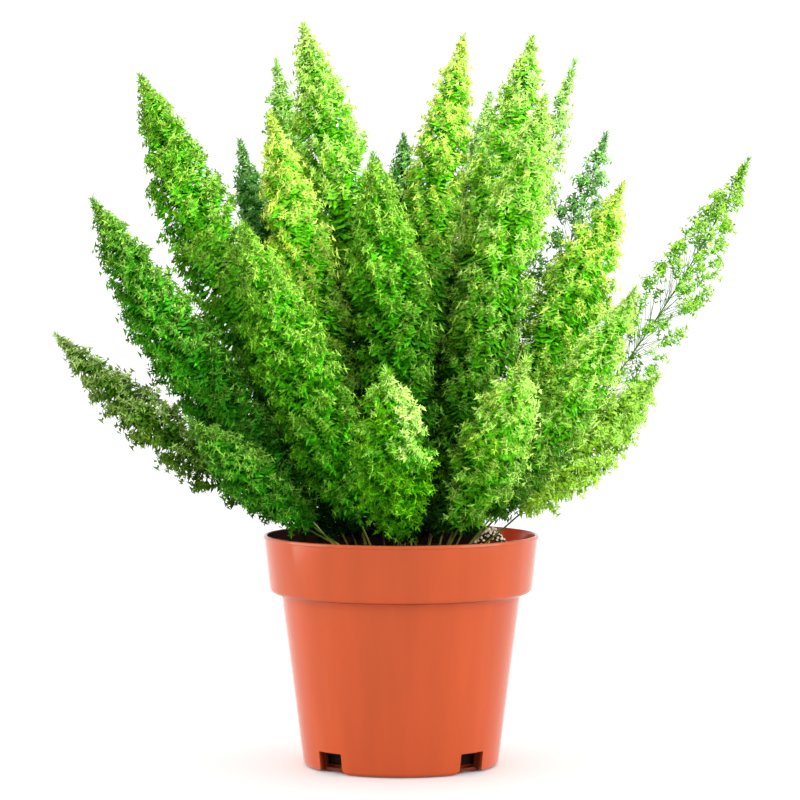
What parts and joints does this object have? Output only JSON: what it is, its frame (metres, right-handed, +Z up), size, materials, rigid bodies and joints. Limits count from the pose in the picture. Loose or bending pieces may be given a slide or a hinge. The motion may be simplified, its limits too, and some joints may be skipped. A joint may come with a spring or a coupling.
{
  "type": "potted foxtail fern",
  "caption": "Foxtail fern with upright and leaning bottlebrush plumes, in a tapered plastic nursery pot with a deep rim band.",
  "frame": {"origin": "centre of the pot's foot, on the surface that it stands on", "axes": "+Z up, -Y towards the viewer of the picture, +X to the right of the picture"},
  "size_m": [0.378, 0.3, 0.408],
  "materials": {
    "pot_plastic": "satin",
    "potting_mix": "matte",
    "perlite": "matte",
    "frond_bright": "matte",
    "frond_mid": "matte",
    "frond_deep": "matte"
  },
  "bodies": {
    "root": {"pot": "pot_plastic", "potting_mix": "potting_mix", "perlite_heap": "perlite", "frond_far_left": "frond_deep", "frond_left_middle": "frond_mid", "frond_left_high": "frond_mid", "frond_left_front_low": "frond_deep", "frond_front_left": "frond_mid", "frond_upper_left": "frond_bright", "frond_tall_left": "frond_mid", "frond_rear_left_tall": "frond_deep", "frond_rear_left_dark": "frond_deep", "frond_centre": "frond_mid", "frond_rear_centre": "frond_deep", "frond_upper_centre": "frond_bright", "frond_rear_right_pale": "frond_deep", "frond_tall_right": "frond_mid", "frond_upper_right": "frond_bright", "frond_rear_right_thin": "frond_deep", "frond_right_dark": "frond_deep", "frond_right_bright": "frond_bright", "frond_right_middle": "frond_bright", "frond_far_right": "frond_mid", "frond_right_low": "frond_mid", "frond_front_small": "frond_bright", "frond_front_right": "frond_bright", "frond_back_left_low": "frond_deep", "frond_back_left": "frond_mid", "frond_back_left_high": "frond_mid", "frond_back_centre_low": "frond_mid", "frond_back_right": "frond_mid", "frond_back_right_low": "frond_mid", "frond_inner_rear": "frond_mid"}
  },
  "joints": []
}
